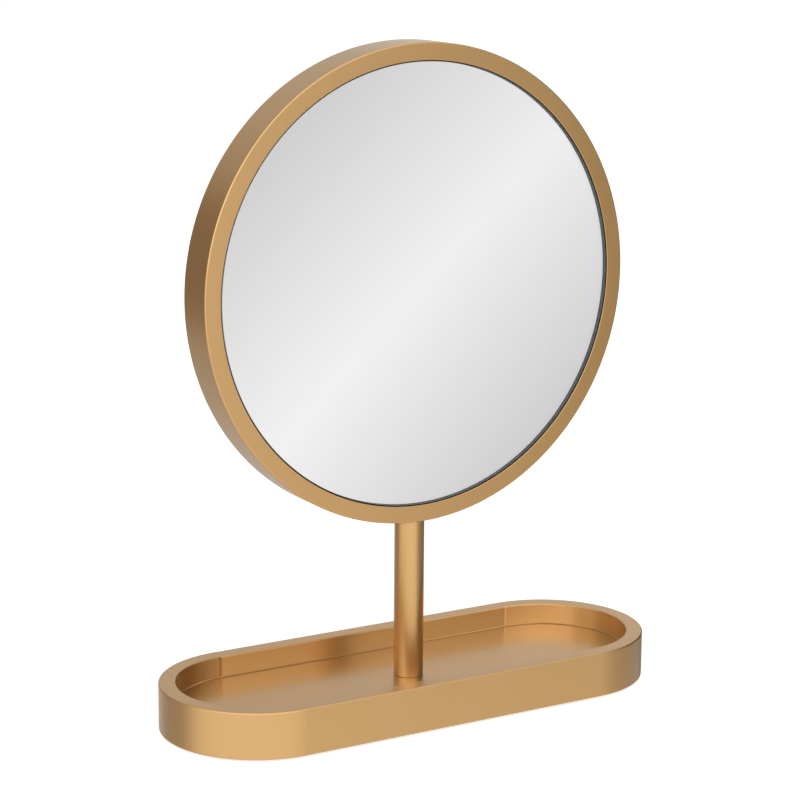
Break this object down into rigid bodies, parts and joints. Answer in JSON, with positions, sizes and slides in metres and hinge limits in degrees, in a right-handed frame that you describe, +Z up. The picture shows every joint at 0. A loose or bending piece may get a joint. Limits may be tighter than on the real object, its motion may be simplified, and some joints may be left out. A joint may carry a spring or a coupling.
{
  "type": "table mirror",
  "caption": "Round mirror in a deep satin gold frame that swivels on a plain post standing in a long, round-ended gold tray for small things.",
  "frame": {"origin": "on the table, below the middle of the post and of the tray", "axes": "+X along the tray, +Y to the back (the mirror faces -Y), +Z up"},
  "size_m": [0.347, 0.127, 0.4284],
  "materials": {
    "gold_frame": "satin gold anodised, fine brushed",
    "gold_floor": "satin gold anodised sheet, brushed along its length",
    "gold_post": "satin gold lacquer on steel tube",
    "mirror": "silvered float glass, clear",
    "glass_tape": "black foam tape, sticky on both sides",
    "carrier_board": "hardboard, dark matt lacquer",
    "foot_rubber": "matt soft rubber",
    "back_board": "hardboard, dark matt lacquer with fine grain",
    "base_board": "hardboard, dark matt lacquer",
    "black_plastic": "fine moulded texture",
    "bearing_plastic": "bronze-filled acetal",
    "bright_steel": "zinc plated",
    "dark_screw": "black zinc plated",
    "plate_steel": "rolled sheet",
    "mill_aluminium": "mill finish"
  },
  "bodies": {
    "stand": {"rim_rail_back": "gold_frame", "rim_rail_front": "gold_frame", "rim_end_right": "gold_frame", "rim_end_left": "gold_frame", "upper_splice_keys": "mill_aluminium", "lower_splice_keys": "mill_aluminium", "tray_floor": "gold_floor", "bottom_panel": "base_board", "access_plug": "black_plastic", "stiffener_plate": "plate_steel", "base_washer": "bright_steel", "base_bolt": "bright_steel", "post_tube": "gold_post", "post_foot_plug": "plate_steel", "post_top_plug": "plate_steel", "thrust_washer": "bearing_plastic", "pivot_stud": "bright_steel", "wave_washer": "bright_steel", "pivot_washer": "bright_steel", "pivot_nut": "bright_steel", "foot_front_left": "foot_rubber", "foot_back_left": "foot_rubber", "foot_front_right": "foot_rubber", "foot_back_right": "foot_rubber"},
    "mirror_head": {"frame_ring": "gold_frame", "mirror_glass": "mirror", "glass_tape": "glass_tape", "carrier_board": "carrier_board", "spacer_ring": "black_plastic", "back_panel": "back_board", "cover_lugs": "mill_aluminium", "cover_screws": "dark_screw", "pivot_block": "plate_steel", "block_screws": "dark_screw", "pivot_saddle": "gold_post"}
  },
  "joints": [
    {"name": "head_swivel", "type": "hinge", "parent": "stand", "child": "mirror_head", "pos_m": [0, 0, 0.1234], "axis": [0, 0, 1], "continuous": true}
  ]
}
